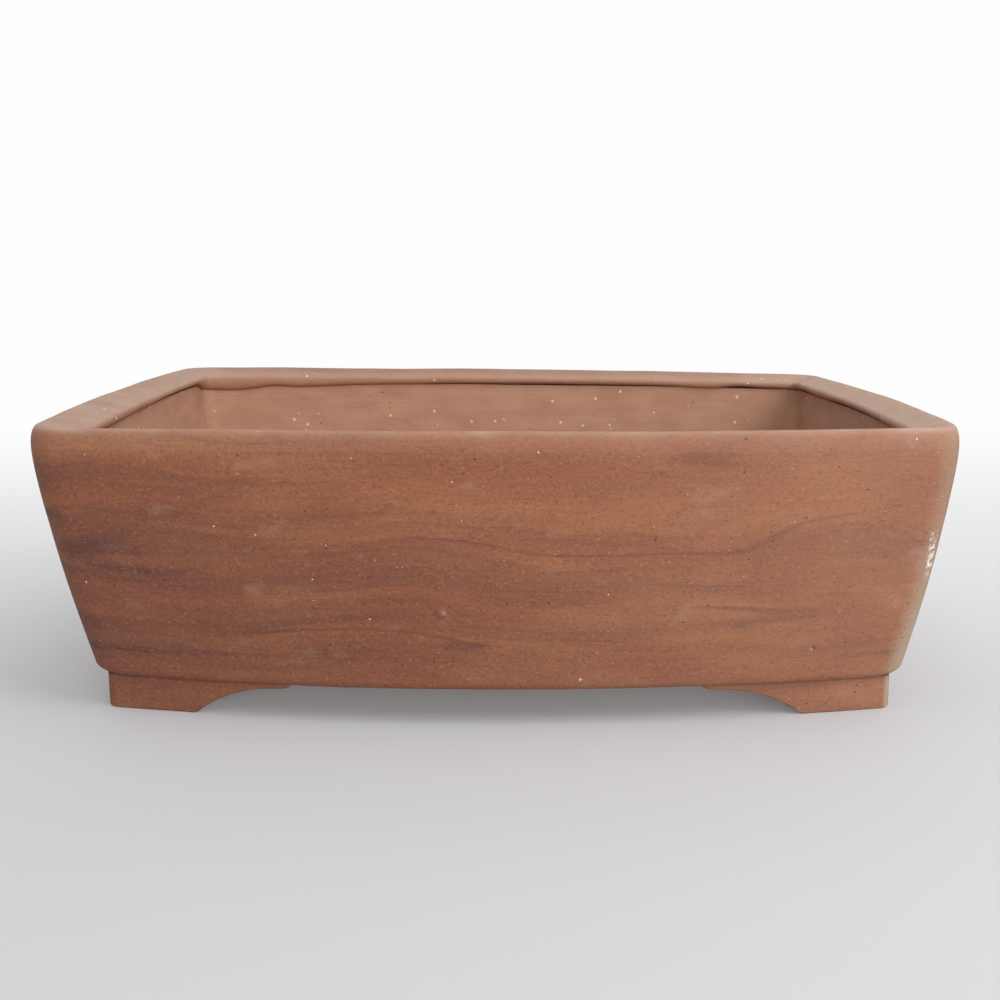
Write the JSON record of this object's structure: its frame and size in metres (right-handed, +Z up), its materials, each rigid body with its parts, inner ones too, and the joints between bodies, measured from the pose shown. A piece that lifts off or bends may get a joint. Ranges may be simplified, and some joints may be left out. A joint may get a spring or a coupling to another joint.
{
  "type": "bonsai pot",
  "caption": "Shallow rectangular bonsai pot of unglazed brown stoneware with bowed sloping walls, an inward lip, bracket feet and a drained floor.",
  "frame": {"origin": "centre of the plane that the feet stand on, under the middle of the pot", "axes": "+X along the length towards the right-hand end, -Y towards the front, +Z up out of the mouth"},
  "size_m": [0.18, 0.137, 0.057],
  "materials": {
    "wall_clay": "matte unglazed stoneware with darker marbled streaks and fine grog",
    "lip_clay": "matte unglazed stoneware, sponged smooth, pinkish grey where it is worn",
    "floor_clay": "matte unglazed stoneware with open grain and cream grog",
    "coil_clay": "matte unglazed stoneware, smoothed with a wet finger",
    "foot_clay": "matte unglazed stoneware, dry, with buff chipped edges"
  },
  "bodies": {
    "root": {"floor_slab": "floor_clay", "front_wall": "wall_clay", "back_wall": "wall_clay", "left_wall": "wall_clay", "right_wall": "wall_clay", "front_lip": "lip_clay", "back_lip": "lip_clay", "left_lip": "lip_clay", "right_lip": "lip_clay", "front_seam_coil": "coil_clay", "back_seam_coil": "coil_clay", "left_seam_coil": "coil_clay", "right_seam_coil": "coil_clay", "front_left_foot": "foot_clay", "front_right_foot": "foot_clay", "back_left_foot": "foot_clay", "back_right_foot": "foot_clay"}
  },
  "joints": []
}
